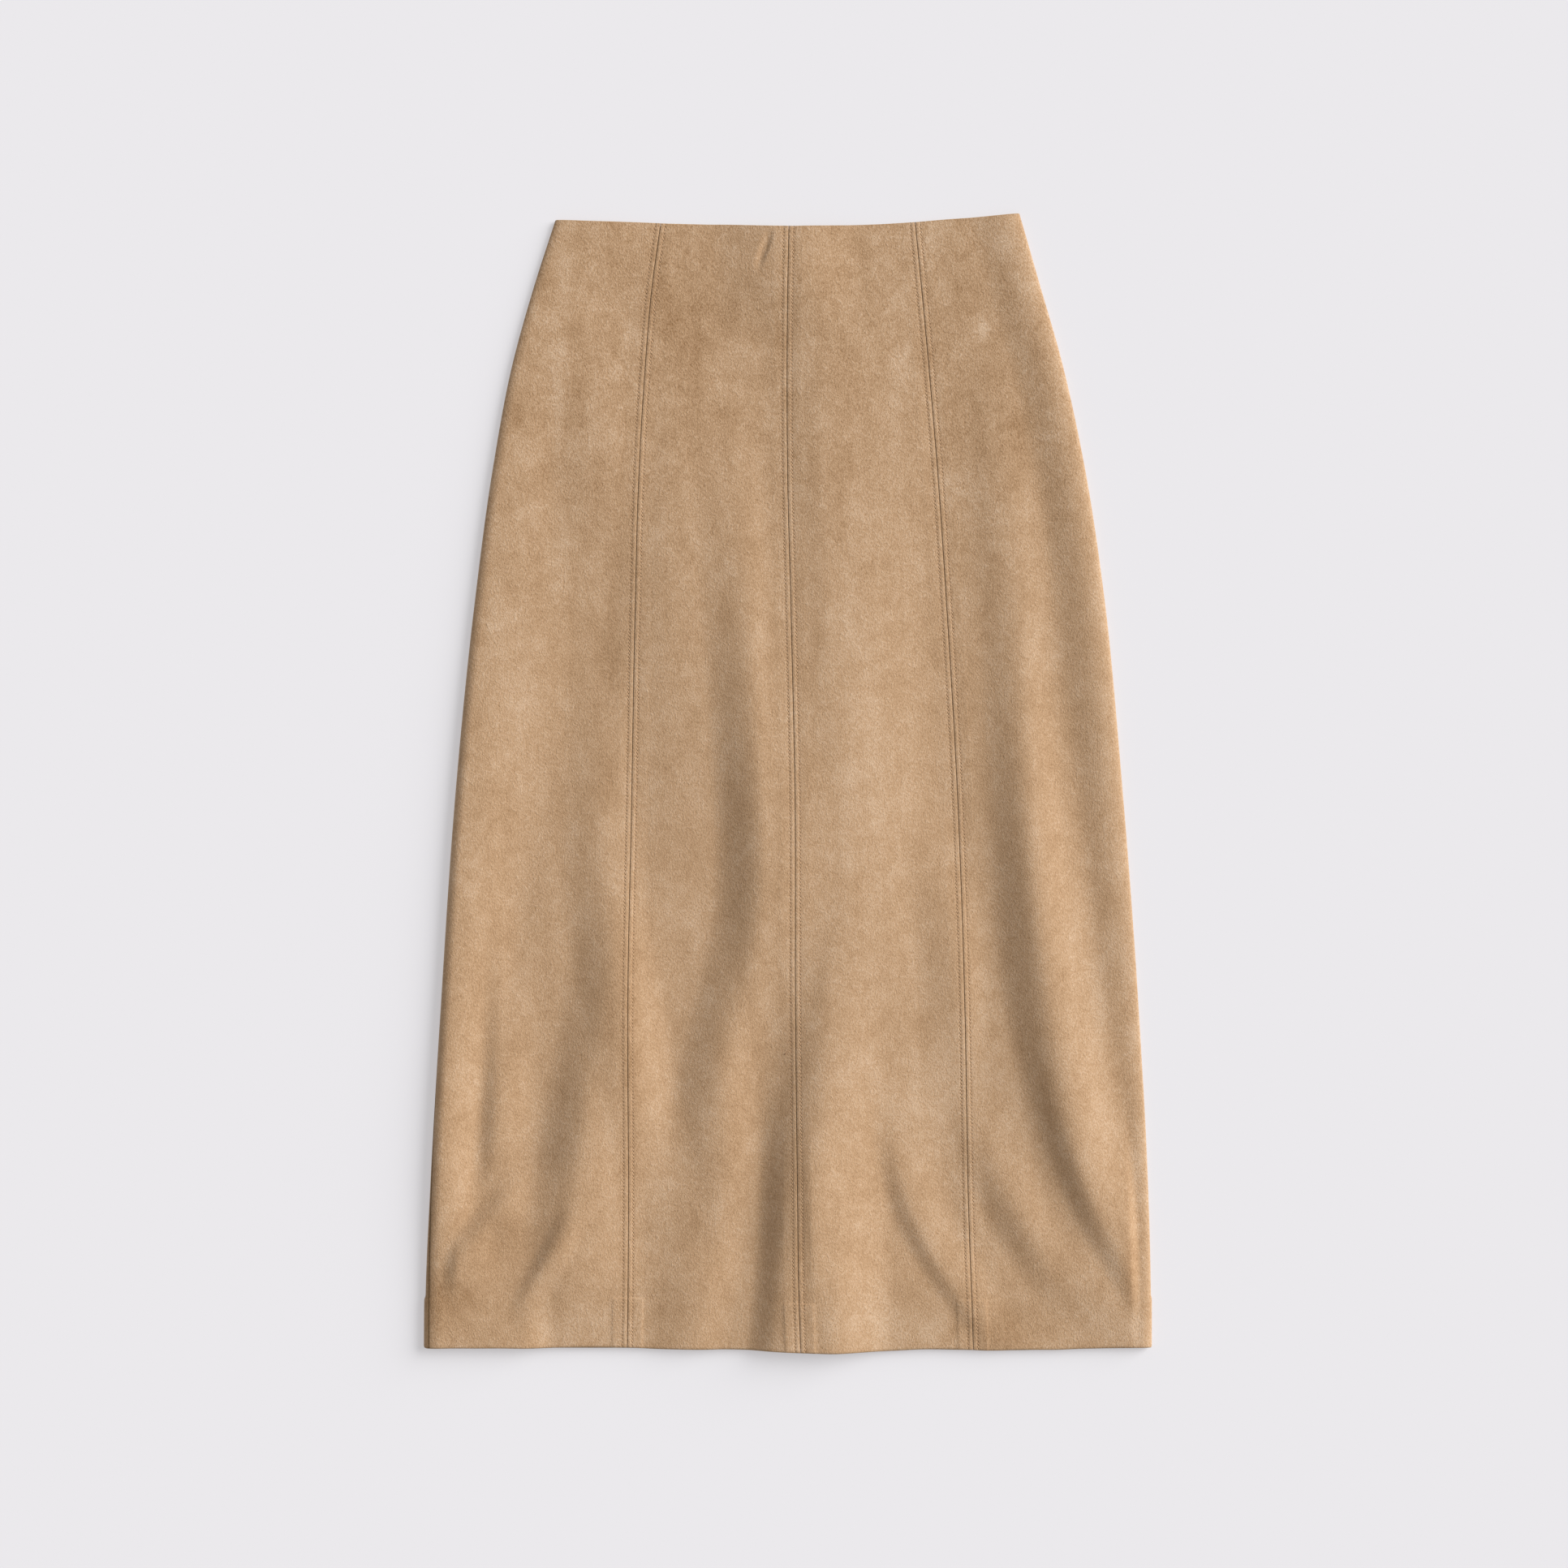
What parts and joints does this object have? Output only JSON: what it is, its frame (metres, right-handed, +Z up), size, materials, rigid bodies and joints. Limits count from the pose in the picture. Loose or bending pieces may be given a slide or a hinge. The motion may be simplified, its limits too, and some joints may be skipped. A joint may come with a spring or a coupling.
{
  "type": "pencil skirt",
  "caption": "Midi pencil skirt of faux suede laid flat on its back, with front gores, topstitched seams, a turned-up hem and a concealed back zip.",
  "frame": {"origin": "middle of the laid-out skirt, on the surface it lies on", "axes": "+Y from the hem to the waist, +X to the wearer's left, +Z up from the surface through the back and then the front"},
  "size_m": [0.5549, 0.871, 0.0179],
  "materials": {
    "faux_suede": "camel faux suede, matt with a soft brushed nap and cloudy shading",
    "zip_tape": "woven zip tape dyed to match, with a coil along its middle",
    "zip_metal": "zip slider and tab enamelled to match the cloth, satin"
  },
  "bodies": {
    "skirt": {"front_right_side": "faux_suede", "front_right_centre": "faux_suede", "front_left_centre": "faux_suede", "front_left_side": "faux_suede", "back_left": "faux_suede", "back_right": "faux_suede", "zip_tape": "zip_tape", "zip_slider": "zip_metal"},
    "pull_tab": {"zip_pull": "zip_metal"}
  },
  "joints": [
    {"name": "zip_pull_hinge", "type": "hinge", "parent": "skirt", "child": "pull_tab", "pos_m": [0, 0.41161, 0.0012], "axis": [1, 0, 0], "range_deg": [0, 180]}
  ]
}
